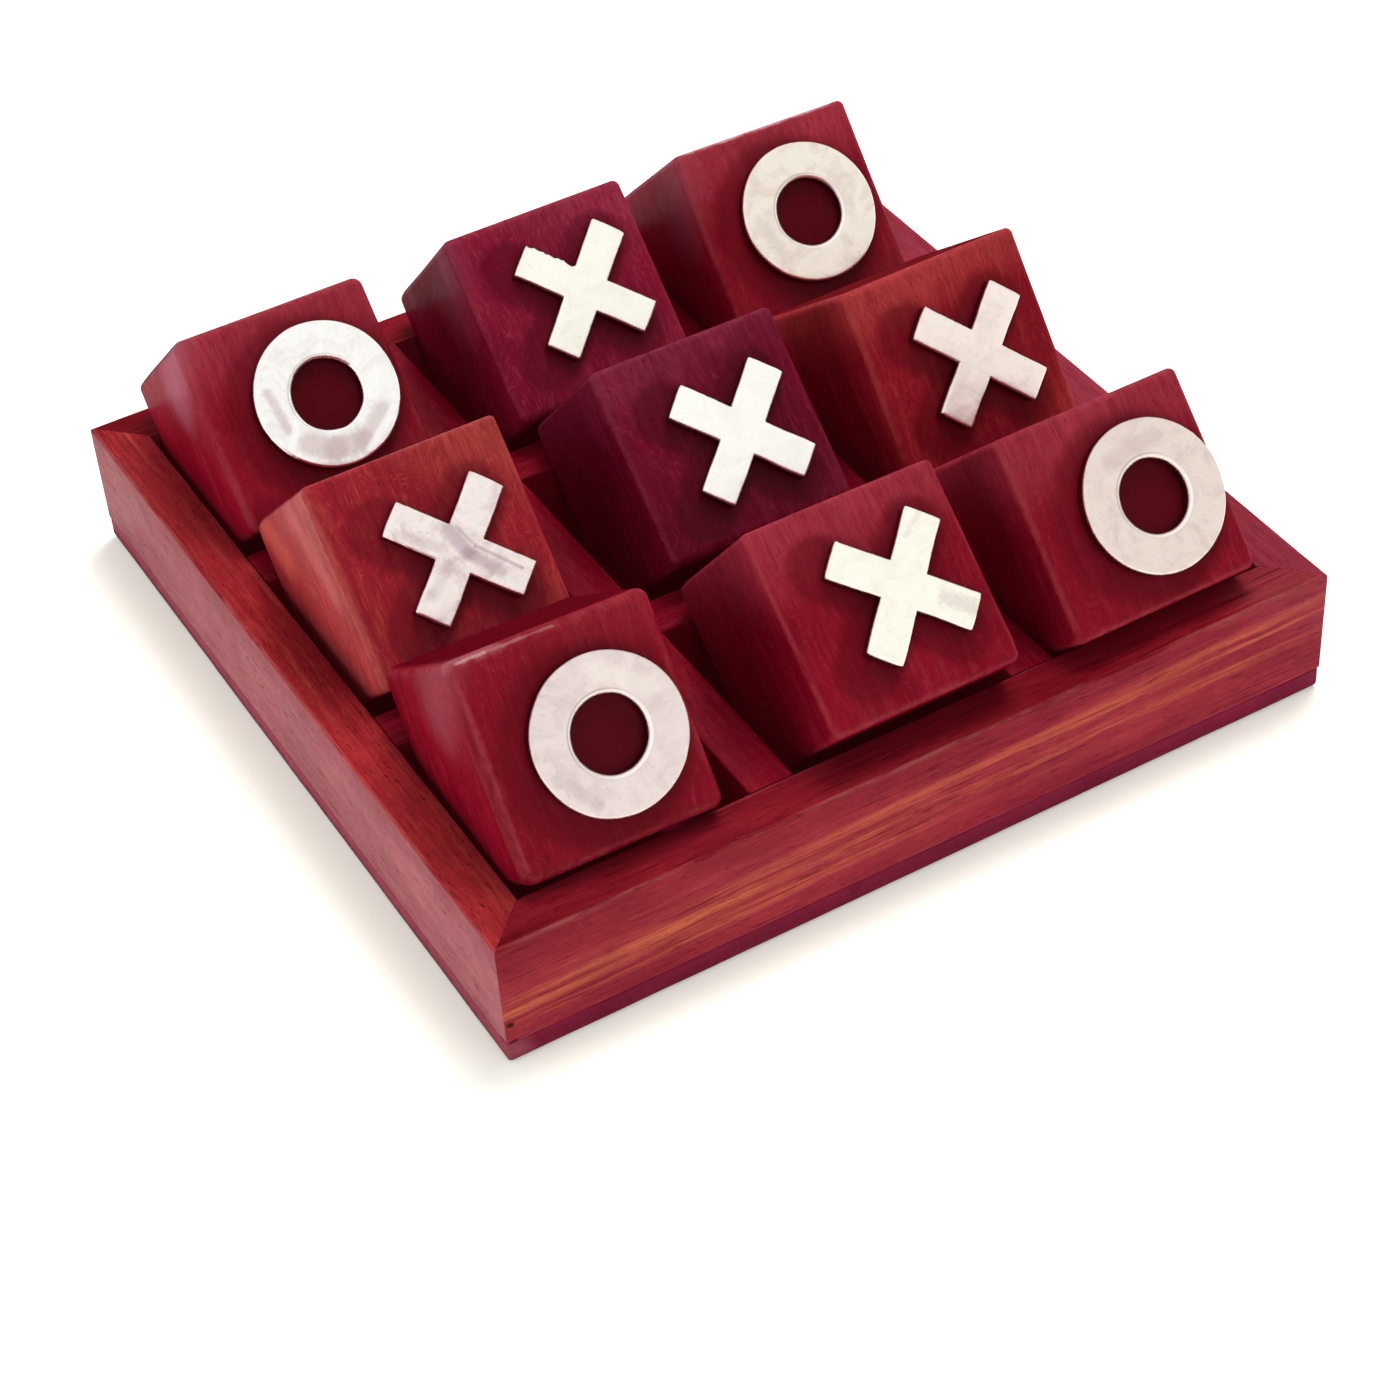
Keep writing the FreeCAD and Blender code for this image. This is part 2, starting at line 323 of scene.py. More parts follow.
def stroke(nodes, point, start, end, radius, ragged, grain, fade=None):
    """How much a point belongs to a stroke between two places: 1 inside, 0 away.

    ragged is how far its edge wanders, grain how finely, fade how wide the edge is.
    """
    run = Vector(end) - Vector(start)
    offset = nodes.vector("SUBTRACT", point, tuple(start))
    if run.length > 0:
        share = nodes.vector("DOT_PRODUCT", offset, tuple(run / run.length_squared))
        share = nodes.spread(share, 0.0, 1.0, smooth=False)
        offset = nodes.vector("SUBTRACT", offset, nodes.vector("SCALE", tuple(run), scale=share))
    away = nodes.vector("LENGTH", offset)
    if ragged:
        away = nodes.math("MULTIPLY_ADD", nodes.noise(point, grain, 4.0, 0.65), ragged, away)
        away = nodes.math("ADD", away, -ragged / 2)
    if fade is None:
        fade = min(1.2 * radius, 1.6 + 0.1 * radius)
    return nodes.spread(away, radius - fade / 2, radius + fade / 2, 1.0, 0.0)


def wood(name, seed, along, look, bands=(), washes=(), strokes=()):
    """Stained, oiled hardwood with its grain along one object axis.

    look gives the stain colours and how strong each kind of figure is. bands are
    pale streaked strips (height, half width, strength) along x. washes tint the
    wood towards one side: (direction, from, to, colour, strength). strokes are
    local marks: (start, end, radius, colour, strength, ragged, fade), where the
    last may be left out.
    """
    n = Nodes(name)
    plain, moved = n.coordinates((seed * 37.0, seed * 53.0, seed * 71.0))
    x, _, z = n.parts(plain)
    sway = n.noise(stretched(n, moved, along, 0.09, 0.030), 1.0, 2.0)
    shove = [0.0 if axis == along else look.get("sway", 6.0) for axis in range(3)]
    bent = n.vector("ADD", moved, n.vector("SCALE", tuple(shove), scale=sway))
    broad = n.noise(stretched(n, bent, along, 0.11, 0.020), 1.0, 3.0, 0.5)
    lines = n.noise(stretched(n, bent, along, 0.70, 0.026), 1.0, 4.0, 0.62)
    fibres = n.noise(stretched(n, bent, along, 3.6, 0.24), 1.0, 3.0, 0.6)
    dashes = n.noise(stretched(n, bent, along, 3.2, 0.45), 1.0, 2.0, 0.5)
    blotch = n.noise(moved, 0.085, 4.0, 0.6)
    dark, body, light = look["dark"], look["body"], look["light"]
    if "crown" in look:
        # the top of a rail has colours of its own, apart from its flanks
        top = n.spread(z, RAIL_TOP - 0.75, RAIL_TOP - 0.30)
        flanks = (dark, body, light)
        dark, body, light = (n.mix(top, flank, crown) for flank, crown in zip(flanks, look["crown"]))
        # the flank darkens towards its top edge; on the top itself the factor is
        # negative, which a mix node takes as none
        low, high, strength, edge_tone = look["flank_top"]
        near_top = n.math("MULTIPLY", n.spread(z, low, high), n.math("SUBTRACT", strength, top))

    # broad shades and streaks, then the pale bands, washes and dark upper flank
    colour = n.layer(body, dark, n.spread(broad, 0.34, 0.68), look.get("broad", 0.65))
    colour = n.layer(colour, light, n.spread(lines, 0.46, 0.76), look.get("streak", 0.4))
    for height, half_width, strength in bands:
        climb = n.math("MULTIPLY_ADD", x, -BAND_LEAN, z)
        climb = n.math("MULTIPLY_ADD", sway, 3.0, climb)
        away = n.math("ABSOLUTE", n.math("SUBTRACT", climb, height + 1.5))
        bell = n.spread(away, 0.0, half_width, 1.0, 0.0)
        strands = n.noise(stretched(n, bent, along, 0.62, 0.013), 1.0, 4.0, 0.62)
        inside = n.math("MULTIPLY", bell, n.spread(strands, 0.40, 0.60))
        colour = n.layer(colour, look["band"], inside, strength)
    for direction, low, high, tone, strength in washes:
        reach = n.vector("DOT_PRODUCT", plain, tuple(Vector(direction).normalized()))
        reach = n.math("MULTIPLY_ADD", broad, 4.0, n.math("ADD", reach, -2.0))
        tinted = n.math("MULTIPLY", n.spread(reach, low, high), n.spread(lines, 0.25, 0.60, 0.55, 1.0))
        colour = n.layer(colour, tone, tinted, strength)
    if "crown" in look:
        colour = n.mix(near_top, colour, edge_tone)

    # thin dark lines, fibres and the glints between them
    thin = n.noise(stretched(n, bent, along, 2.3, 0.030), 1.0, 3.0, 0.55)
    colour = n.layer(colour, n.darker(dark, 0.45), n.spread(thin, 0.56, 0.70), look.get("lines", 0.18))
    colour = n.layer(colour, dark, n.spread(fibres, 0.34, 0.62, 1.0, 0.0), look.get("fibre", 0.34))
    colour = n.layer(colour, light, n.spread(fibres, 0.56, 0.74), look.get("glints", 0.28))
    # stain brushed on in curving strokes
    curl = n.noise(moved, 0.06, 2.0, 0.5, 0.6)
    swept = n.vector("ADD", moved, n.vector("SCALE", (26.0, 14.0, 26.0), scale=curl))
    hairs = n.noise(stretched(n, swept, along, 1.5, 0.16), 1.0, 3.0, 0.65)
    brushed = look.get("brushed", 0.30)
    colour = n.layer(colour, light, n.spread(hairs, 0.54, 0.68), brushed)
    colour = n.layer(colour, dark, n.spread(hairs, 0.32, 0.46, 1.0, 0.0), brushed)
    pore = n.spread(dashes, 0.63, 0.71)
    colour = n.layer(colour, n.darker(dark, 0.25), pore, look.get("pores", 0.34))
    # uneven stain
    shade = n.spread(blotch, 0.25, 0.75, 0.82, 1.18, smooth=False)
    tint = n.tree.nodes.new("ShaderNodeCombineXYZ")
    for socket in tint.inputs:
        n.put(socket, shade)
    colour = n.mix(1.0, colour, tint.outputs[0], "MULTIPLY")
    # rubbed edges, then the local marks
    patch = n.spread(n.noise(stretched(n, moved, along, 0.5, 0.10), 1.0, 4.0, 0.6), 0.36, 0.66)
    worn = n.math("MULTIPLY", n.attribute("wear"), patch)
    colour = n.layer(colour, look.get("rubbed", (0.40, 0.075, 0.075)), worn, look.get("wear", 0.18))
    for start, end, radius, tone, strength, ragged, *fade in strokes:
        painted = stroke(n, plain, start, end, radius, ragged, GRAIN_FINE, *fade)
        colour = n.layer(colour, tone, painted, strength)

    # painted sheen: seen at a slant, the wood's colour is made a little pinker
    weight = n.tree.nodes.new("ShaderNodeLayerWeight")
    weight.inputs["Blend"].default_value = 0.5
    slant = n.spread(weight.outputs["Facing"], 0.32, 0.64)
    colour = n.mix(slant, colour, n.mix(1.0, colour, (1.20, 1.0, 1.2), "MULTIPLY"))
    # painted shade: edges that turn away from the eye are darkened
    away = n.spread(weight.outputs["Facing"], 0.74, 0.93)
    colour = n.layer(colour, n.darker(dark, 0.5), away, 0.75)
    # painted shade in corners, cracks and hollows, darker where ambient occlusion finds them shut in
    corner = n.tree.nodes.new("ShaderNodeAmbientOcclusion")
    corner.samples = 6
    corner.inputs["Distance"].default_value = 5.0 * MM
    shut = n.spread(corner.outputs["AO"], 0.25, 0.95, 1.0, 0.0, smooth=False)
    colour = n.layer(colour, (0.035, 0.002, 0.004), shut, look.get("grime", 0.45))
    n.put(n.surface.inputs["Base Color"], colour)

    roughness = look.get("roughness", 0.32)
    gloss = n.noise(moved, 0.20, 3.0)
    gloss = n.spread(gloss, 0.3, 0.7, roughness - 0.06, roughness + 0.07, smooth=False)
    n.put(n.surface.inputs["Roughness"], n.math("MULTIPLY_ADD", pore, 0.15, gloss))
    n.surface.inputs["IOR"].default_value = 1.45
    # a faint red glow painted into all the wood, so that the cracks between the pieces read dark red rather
    # than black
    n.surface.inputs["Emission Color"].default_value = (1.0, 0.03, 0.08, 1.0)
    n.surface.inputs["Emission Strength"].default_value = 0.011
    # the sheen differs straight on and at a slant
    sheens = look.get("flat_sheen", 0.06), look.get("slant_sheen", 0.008)
    level = n.spread(slant, 0.0, 1.0, *sheens, smooth=False)
    n.put(n.surface.inputs["Specular IOR Level"], n.math("MULTIPLY", level, n.math("SUBTRACT", 1.0, away)))
    relief = n.math("MULTIPLY_ADD", pore, -1.0, n.math("MULTIPLY", fibres, 0.45))
    fine = n.bump(relief, look.get("relief", 0.4), 0.12)
    slow = n.bump(n.noise(moved, 0.13, 2.0), 0.35, 0.8, fine)
    n.put(n.surface.inputs["Normal"], slow)
    return n.material


def metal(name, seed, bright, dull, gleam, strokes, rim):
    """Hand-rubbed aluminium with dull patches, flecks, small dents and fine scratches.

    gleam is how mirror-like it is, and rim the radius of a bore edge with a painted highlight, or None.
    """
    n = Nodes(name)
    plain, moved = n.coordinates((seed * 29.0, seed * 43.0, seed * 11.0))
    patches = n.noise(moved, 0.20, 5.0, 0.68, 0.8)
    specks = n.noise(moved, 1.7, 4.0, 0.70)
    turned = n.vector("ADD", moved, n.vector("SCALE", (4.0, 4.0, 0.0), scale=n.noise(moved, 0.10, 2.0)))
    scratch = n.noise(n.vector("MULTIPLY", turned, (0.30, 4.0, 1.0)), 1.0, 3.0, 0.6, 0.4)
    colour = n.mix(n.spread(patches, 0.42, 0.68), bright, dull)
    fleck = n.spread(specks, 0.58, 0.70)
    grey = tuple(c * 0.55 for c in dull)
    colour = n.layer(colour, grey, fleck, 0.30)
    colour = n.layer(colour, grey, n.spread(scratch, 0.60, 0.72), 0.14)
    for start, end, radius, tone, strength, ragged, *fade in strokes:
        painted = stroke(n, plain, start, end, radius, ragged, METAL_FINE, *fade)
        colour = n.layer(colour, tone, painted, strength)
    if rim is not None:
        # the bore's edge gets a painted highlight on the low right and a painted dark line just outside it on
        # the other side
        radius = n.vector("LENGTH", n.vector("MULTIPLY", plain, (1.0, 1.0, 0.0)))
        low_right = n.vector("DOT_PRODUCT", plain, (0.7, -0.7, 0.0))
        lit = n.spread(n.math("ABSOLUTE", n.math("SUBTRACT", radius, rim)), 0.14, 0.42, 1.0, 0.0)
        colour = n.layer(colour, (1.0, 0.96, 0.94), lit, n.spread(low_right, -1.0, 5.0, 0.15, 0.75))
        rim_shade = n.math("ABSOLUTE", n.math("SUBTRACT", radius, rim + 0.30))
        rim_shade = n.spread(rim_shade, 0.05, 0.22, 1.0, 0.0)
        colour = n.layer(colour, grey, rim_shade, n.spread(low_right, -5.0, 1.0, 0.60, 0.15))
    # painted reflection: the cut walls are coloured dark red, as if they mirrored the wood beside them, and
    # are smoother
    wall = n.spread(n.parts(plain)[2], MARK_HEIGHT - 0.75, MARK_HEIGHT - 0.45, 1.0, 0.0)
    colour = n.layer(colour, (0.20, 0.035, 0.050), wall, 0.88)
    n.put(n.surface.inputs["Base Color"], colour)
    n.surface.inputs["Metallic"].default_value = 1.0
    rough = n.spread(patches, 0.3, 0.7, 0.46 - 0.28 * gleam, 0.50 - 0.16 * gleam, smooth=False)
    rough = n.math("MULTIPLY_ADD", fleck, 0.12, rough)
    n.put(n.surface.inputs["Roughness"], n.math("MULTIPLY_ADD", wall, -0.15, rough))
    dents = n.bump(n.noise(moved, 0.30, 3.0, 0.5), 0.35, 0.35)
    marks = n.math("MULTIPLY_ADD", specks, 0.8, n.math("MULTIPLY", scratch, 0.5))
    n.put(n.surface.inputs["Normal"], n.bump(marks, 0.28, 0.06, dents))
    return n.material


def settle(item, material, body, replaced):
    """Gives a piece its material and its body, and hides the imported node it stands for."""
    item.data.materials.append(material)
    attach(item, body)
    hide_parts(replaced)


# ---------------------------------------------------------------- tray

def build_rail(label, quarter_turns, material):
    """A mitred rail: its section is swept along x and cut slanting at both ends."""
    width, height = RAIL_WIDTH, RAIL_TOP - BASE_TOP
    # each corner's place, rounding and first angle, from the outer low one round
    corners = [((0, 0), 0.25, 180), ((width, 0), 0.1, 270), ((width, height), 0.4, 0), ((0, height), 0.5, 90)]
    section = []
    for (cy, cz), radius, start in corners:
        centre_y = cy + (radius if cy == 0 else -radius)
        centre_z = cz + (radius if cz == 0 else -radius)
        for step in range(5):
            turn = math.radians(start + 90 * step / 4)
            outward = (math.cos(turn), math.sin(turn))
            edge = 1.0 if 0 < step < 4 else 0.4
            section.append((centre_y + radius * outward[0], centre_z + radius * outward[1], edge))
    flats = []
    for index, (y, z, edge) in enumerate(section):
        flats.append((y, z, edge))
        if index % 5 == 4:
            y2, z2, _ = section[(index + 1) % len(section)]
            for share in (0.02, 0.25, 0.5, 0.75, 0.98):
                flats.append((y + (y2 - y) * share, z + (z2 - z) * share, 0.0))
    verts, wear, faces = [], [], []
    for s in range(STEPS_ALONG + 1):
        share = -1 + 2 * s / STEPS_ALONG
        for y, z, edge in flats:
            reach = TRAY_SIDE / 2 - y - MITRE_GAP
            x = share * reach
            nick = 0.05 * wobble((x * 0.4, y, z), 0.3, quarter_turns + 1)
            pull = 0.06 + nick if edge else 0.02
            inward = (pull if y < width / 2 else -pull) * (0.6 if edge else 0.3)
            sunk = max(0.0, pull) * 0.5 if z > height / 2 else 0.0
            verts.append((x, -TRAY_SIDE / 2 + min(max(y, 0.0), width) + inward, BASE_TOP + z - sunk))
            wear.append(edge)
    ring = len(flats)
    for s in range(STEPS_ALONG):
        for k in range(ring):
            a, b = s * ring + k, s * ring + (k + 1) % ring
            faces.append((a, b, b + ring, a + ring))
    faces.append(tuple(range(ring)))
    faces.append(tuple(reversed(range(STEPS_ALONG * ring, (STEPS_ALONG + 1) * ring))))
    item = mesh_object(f"tray_{label}", verts, faces, CREASE, wear)
    item.matrix_world = Matrix.Rotation(math.radians(90 * quarter_turns), 4, "Z")
    settle(item, material, "tray", label)


def square_ring(half, corner, per_side=40, per_corner=5):
    """Points round a square with rounded corners, the same number for any size."""
    points = []
    inner = half - corner
    for quarter in range(4):
        turn = math.radians(90 * quarter)
        c, s = math.cos(turn), math.sin(turn)
        side = [(half, -inner + 2 * inner * k / per_side) for k in range(per_side)]
        arc = [(inner + corner * math.cos(math.radians(90 * k / per_corner)),
                inner + corner * math.sin(math.radians(90 * k / per_corner)))
               for k in range(per_corner)]
        points += [(c * x - s * y, s * x + c * y) for x, y in side + arc]
    return points


def build_base(material):
    """The bottom board: a thin border under the rails and a raised middle."""
    side, opening = TRAY_SIDE / 2, TRAY_SIDE / 2 - RAIL_WIDTH - GLUE_GAP
    # (half width, height, how much of an edge) from the underside up
    section = [(side - 2.4, 0.0, 0.0), (side - 1.0, 0.0, 0.3)]
    for turn in (22.5, 45, 67.5):
        section.append((side - 1.0 + math.sin(math.radians(turn)), 1.0 - math.cos(math.radians(turn)), 1.0))
    section += [(side, 1.0, 0.4), (side, 2.4, 0.0), (side, BASE_TOP - 0.35, 0.3),
                (side - 0.1, BASE_TOP - 0.1, 0.8), (side - 0.35, BASE_TOP, 0.3),
                (opening, BASE_TOP, 0.0), (opening, FLOOR_TOP, 0.0)]
    verts, wear, faces = [], [], []
    for half, z, edge in section:
        corner = 0.3 if half <= opening else 0.45
        points = square_ring(half, corner)
        for x, y in points:
            wave = 0.05 * wobble((x, y, z), 0.12, 4) + 0.03 * wobble((x, y, z), 0.6, 5)
            inset = 1 - (0.07 + wave) / half if half > side - 0.5 else 1.0
            verts.append((x * inset, y * inset, z))
            wear.append(edge)
    count = len(points)
    for ring in range(len(section) - 1):
        for k in range(count):
            low, high, beside = ring * count, (ring + 1) * count, (k + 1) % count
            faces.append((low + k, low + beside, high + beside, high + k))
    faces.append(tuple(reversed(range(count))))
    faces.append(tuple(range((len(section) - 1) * count, len(section) * count)))
    item = mesh_object("tray_base_board", verts, faces, CREASE, wear)
    settle(item, material, "tray", "base_board")


def build_divider(label, side, front_to_back, material):
    """A divider halved over the ones it crosses, its edges lightly eased."""
    span = TRAY_SIDE / 2 - RAIL_WIDTH
    near, far = CELL / 2, CELL / 2 + DIVIDER
    height = RAIL_TOP - FLOOR_TOP
    notched, plain = (height, 0.0) if front_to_back else (0.0, height)
    middle = height / 2
    gap = GLUE_GAP
    outline = [(-span + gap, notched), (-far - gap, notched), (-far - gap, middle), (-near + gap, middle),
               (-near + gap, notched), (near - gap, notched), (near - gap, middle), (far + gap, middle),
               (far + gap, notched), (span - gap, notched), (span - gap, plain), (-span + gap, plain)]
    item = prism(f"tray_{label}", outline, DIVIDER - 2 * gap, 0.40, 3)
    # the outline was drawn lying down: stand it up and centre its thickness
    item.data.transform(Matrix.Translation((0, 0, -(DIVIDER / 2 - gap) * MM)))
    item.data.transform(Matrix.Rotation(math.radians(90), 4, "X"))
    offset = side * (CELL + DIVIDER) / 2 * MM
    turn = Matrix.Rotation(math.radians(90 if front_to_back else 0), 4, "Z")
    place = (offset, 0, FLOOR_TOP * MM) if front_to_back else (0, offset, FLOOR_TOP * MM)
    item.matrix_world = Matrix.Translation(place) @ turn
    settle(item, material, "tray", label)


# ---------------------------------------------------------------- cubes and marks

def cube_frame(name):
    """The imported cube's middle, with x along it and z square to its marked face."""
    tilt, turn = CUBES[name][1:3]
    low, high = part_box(f"block_{name}")
    spin = Matrix.Rotation(math.radians(turn), 4, "Z") @ Matrix.Rotation(math.radians(tilt), 4, "X")
    return Matrix.Translation((low + high) / 2) @ spin


# How round each cube's edges are sanded, next to the usual.
SOFTNESS = {"front_left": 1.35, "back_left": 1.1, "middle_left": 0.75, "front_centre": 0.8}


def build_cube(name, seed, material):
    width, slope = CUBES[name][3:5]
    half = (width / 2, slope / 2, CUBE_THICKNESS / 2)
    softness = SOFTNESS.get(name, 0.9)

    def radius_at(point):
        near = [abs(point[a]) / half[a] for a in range(3)]
        # the two edges that pass the neighbouring cubes keep their full rounding
        passing = near[1] * near[2] if point[1] * point[2] < 0 else 0.0
        base = 1.45 * softness * (1 + 0.22 * wobble(point, 0.06, seed))
        left_edge = max(0.0, -point[0] / half[0]) * max(0.0, point[2] / half[2])
        base += 0.45 * softness * left_edge ** 8
        return max(base, FULL_ROUNDING) if passing > 0.8 else base

    def bulge_at(point):
        return -0.08 + 0.07 * wobble(point, 0.05, seed + 20)

    item = rounded_box(f"cube_{name}", half, FULL_ROUNDING, radius_at, bulge_at)
    item.matrix_world = cube_frame(name)
    settle(item, material, f"piece_{name}", f"block_{name}")


def edge_drop(distance, radius):
    """How far a rounded edge lies below the flat at a distance from the rim."""
    if distance >= radius:
        return 0.0
    return radius - math.sqrt(max(0.0, radius ** 2 - (radius - distance) ** 2))


def dented(x, y, seed):
    """Shallow hand-polishing dips in a metal top."""
    return -0.05 + 0.04 * wobble((x, y, 0), 0.22, seed) + 0.015 * wobble((x, y, 3), 0.8, seed)


def ring_mesh(name, seed):
    """A ring turned from a rounded section, a little out of true."""
    steps = [1 - math.cos(math.radians(k * 22.5)) for k in range(5)]
    radii = [RING_BORE + BORE_RIM * k for k in steps]
    flat = RING_OUTER - MARK_RIM - BORE_RIM - RING_BORE
    radii += [RING_BORE + BORE_RIM + flat * k / 8 for k in range(1, 8)]
    radii += [RING_OUTER - MARK_RIM * k for k in reversed(steps)]
    section = [(RING_BORE, -MARK_FOOT), (RING_BORE, MARK_WAIST)]
    for radius in radii:
        drop = max(edge_drop(radius - RING_BORE, BORE_RIM), edge_drop(RING_OUTER - radius, MARK_RIM))
        section.append((radius, MARK_HEIGHT - drop))
    section += [(RING_OUTER, MARK_WAIST), (RING_OUTER, -MARK_FOOT)]
    verts, faces = [], []
    for s in range(STEPS_ALONG):
        turn = 2 * math.pi * s / STEPS_ALONG
        c, d = math.cos(turn), math.sin(turn)
        at = (8 * c, 8 * d, 0)
        outer_shift = 0.12 * wobble(at, 0.2, seed) + 0.03 * wobble(at, 1.2, seed) - 0.13
        inner_shift = 0.10 * wobble((8 * c, 8 * d, 4), 0.25, seed)
        for radius, z in section:
            share = (radius - RING_BORE) / (RING_OUTER - RING_BORE)
            r = radius + outer_shift * share + inner_shift * (1 - share)
            lift = dented(r * c, r * d, seed) if z > 1.0 else 0.0
            verts.append((r * c, r * d, z + lift))
    ring = len(section)
    for s in range(STEPS_ALONG):
        here, there = s * ring, (s + 1) % STEPS_ALONG * ring
        for k in range(ring):
            beside = (k + 1) % ring
            faces.append((here + k, there + k, there + beside, here + beside))
    return mesh_object(name, verts, faces, CREASE)


def cross_mesh(name, seed, ragged):
    """An X cut from plate by hand: softened rims and slightly uneven arms."""
    half, end, rounding = CROSS_ARM / 2, CROSS_HALF, 0.4
    rim = [rounding * (1 - math.cos(math.radians(k * 22.5))) for k in range(5)]
    arm = [half - k for k in rim]
    tips = [end - k for k in rim]
    between = [half + (end - rounding - half) * k / 16 for k in range(1, 16)]
    inside = [(half - rounding) * k / 4 for k in range(4)]
    positive = sorted(set(inside + arm + between + tips))
    stations = [-v for v in reversed(positive) if v > 0] + positive
    count = len(stations)

    def in_plus(x, y):
        short, long = sorted((abs(x), abs(y)))
        return short <= half + 1e-6 and long <= end + 1e-6

    def to_rim(x, y):
        x, y = abs(x), abs(y)
        if x > half:
            return min(half - y, end - x)
        if y > half:
            return min(half - x, end - y)
        return math.hypot(half - x, half - y)

    def moved(x, y):
        across, along = sorted((abs(x), abs(y)))
        corner = math.exp(-((end - along) + (half - across)) / 0.35) if along > half else 0.0
        dx = 0.16 * wobble((x, y, 0), 0.16, seed) + 0.04 * wobble((x, y, 0), 0.9, seed)
        dy = 0.16 * wobble((x, y, 5), 0.16, seed) + 0.04 * wobble((x, y, 5), 0.9, seed)
        trim = 0.985 - 0.02 * corner
        if y > half and x > 0:
            # the edge left rough by the saw
            dx -= ragged * (x / half) ** 3 * abs(wobble((0, y, 9), 0.9, seed))
        return x * trim + dx, y * trim + dy

    index, verts, faces = {}, [], []

    def vertex(i, j, level):
        if (i, j, level) not in index:
            x, y = stations[i], stations[j]
            mx, my = moved(x, y)
            top = MARK_HEIGHT - edge_drop(to_rim(x, y), rounding) + dented(x, y, seed)
            z = {"top": top, "waist": MARK_WAIST, "foot": -MARK_FOOT}[level]
            index[(i, j, level)] = len(verts)
            verts.append((mx, my, z))
        return index[(i, j, level)]

    cells = set()
    for i in range(count - 1):
        for j in range(count - 1):
            x, y = (stations[i] + stations[i + 1]) / 2, (stations[j] + stations[j + 1]) / 2
            if in_plus(x, y):
                cells.add((i, j))
    for i, j in cells:
        corners = ((i, j), (i + 1, j), (i + 1, j + 1), (i, j + 1))
        faces.append([vertex(a, b, "top") for a, b in corners])
        faces.append([vertex(a, b, "foot") for a, b in reversed(corners)])
        neighbours = ((i, j - 1), (i + 1, j), (i, j + 1), (i - 1, j))
        for k, neighbour in enumerate(neighbours):
            if neighbour in cells:
                continue
            (a, b), (c, d) = corners[k], corners[(k + 1) % 4]
            for low, high in (("foot", "waist"), ("waist", "top")):
                faces.append([vertex(a, b, low), vertex(c, d, low), vertex(c, d, high), vertex(a, b, high)])
    item = mesh_object(name, verts, faces, CREASE)
    item.data.transform(Matrix.Rotation(math.radians(45), 4, "Z"))
    return item


# How deep the saw left one edge of a cross uneven.
RAGGED = {"back_centre": 0.9}


def build_mark(name, seed, material):
    kind = CUBES[name][0]
    right, up, turn = CUBES[name][5:8]
    if kind == "ring":
        item = ring_mesh(f"mark_{name}", seed)
    else:
        item = cross_mesh(f"mark_{name}", seed, RAGGED.get(name, 0.15))
    seat = Matrix.Translation((right * MM, up * MM, CUBE_THICKNESS / 2 * MM))
    item.matrix_world = cube_frame(name) @ seat @ Matrix.Rotation(math.radians(turn), 4, "Z")
    settle(item, material, f"piece_{name}", f"{kind}_{name}")


# ---------------------------------------------------------------- build everything

# each piece of wood has its own seed, so that no two show the same figure
BASE_SEED, RAIL_SEED, DIVIDER_SEED, CUBE_SEED = 3, 6, 12, 20

# stain colours, and how strong each kind of figure is where it isn't as usual
CRIMSON = dict(dark=(0.105, 0.0004, 0.005), body=(0.165, 0.0025, 0.012), light=(0.25, 0.020, 0.033))
PURPLE = dict(dark=(0.060, 0.0005, 0.007), body=(0.105, 0.0012, 0.014), light=(0.175, 0.014, 0.036),
              brushed=0.5, wear=0.12)
PLUM = dict(dark=(0.100, 0.0010, 0.011), body=(0.155, 0.004, 0.020), light=(0.25, 0.025, 0.050),
            brushed=0.5, wear=0.15)
ORANGE = dict(dark=(0.15, 0.004, 0.012), body=(0.26, 0.012, 0.021), light=(0.38, 0.052, 0.040),
              streak=0.5, lines=0.45, slant_sheen=0.07, brushed=0.4)
RUSSET = dict(dark=(0.12, 0.001, 0.006), body=(0.20, 0.005, 0.013), light=(0.33, 0.034, 0.030), streak=0.5)
# crown: the colours of a rail's top; flank_top: (from, to, strength, colour) under it
CROWN = ((0.095, 0.0010, 0.005), (0.175, 0.006, 0.013), (0.25, 0.018, 0.027))
RED_CROWN = ((0.14, 0.006, 0.010), (0.28, 0.017, 0.022), (0.40, 0.065, 0.045))
PINK_CROWN = ((0.145, 0.011, 0.022), (0.24, 0.029, 0.047), (0.31, 0.052, 0.072))
RAIL = dict(dark=(0.16, 0.009, 0.021), body=(0.265, 0.026, 0.035), light=(0.34, 0.052, 0.050),
            band=(0.47, 0.110, 0.052), crown=CROWN, flank_top=(19.0, 23.0, 0.15, (0.18, 0.012, 0.024)),
            rubbed=(0.46, 0.16, 0.15), broad=0.8, streak=0.5, lines=0.8, fibre=0.32, pores=0.4, wear=0.25,
            roughness=0.40, relief=0.5, grime=0.3, flat_sheen=0.02, brushed=0.15, sway=3.0)
# the left rail's flanks are paler and pinker than the other rails': the stain with a painted sheen
LEFT_RAIL = dict(RAIL, dark=(0.20, 0.052, 0.058), body=(0.30, 0.100, 0.102), light=(0.36, 0.132, 0.118),
                 crown=RED_CROWN, flank_top=(15.5, 22.0, 0.60, (0.17, 0.028, 0.036)),
                 slant_sheen=0.04, pores=0.7, lines=0.65)
RIGHT_RAIL = dict(RAIL, crown=PINK_CROWN)
BASE = dict(dark=(0.110, 0.002, 0.018), body=(0.165, 0.006, 0.030), light=(0.21, 0.016, 0.040),
            wear=0.12, roughness=0.42, grime=0.6)

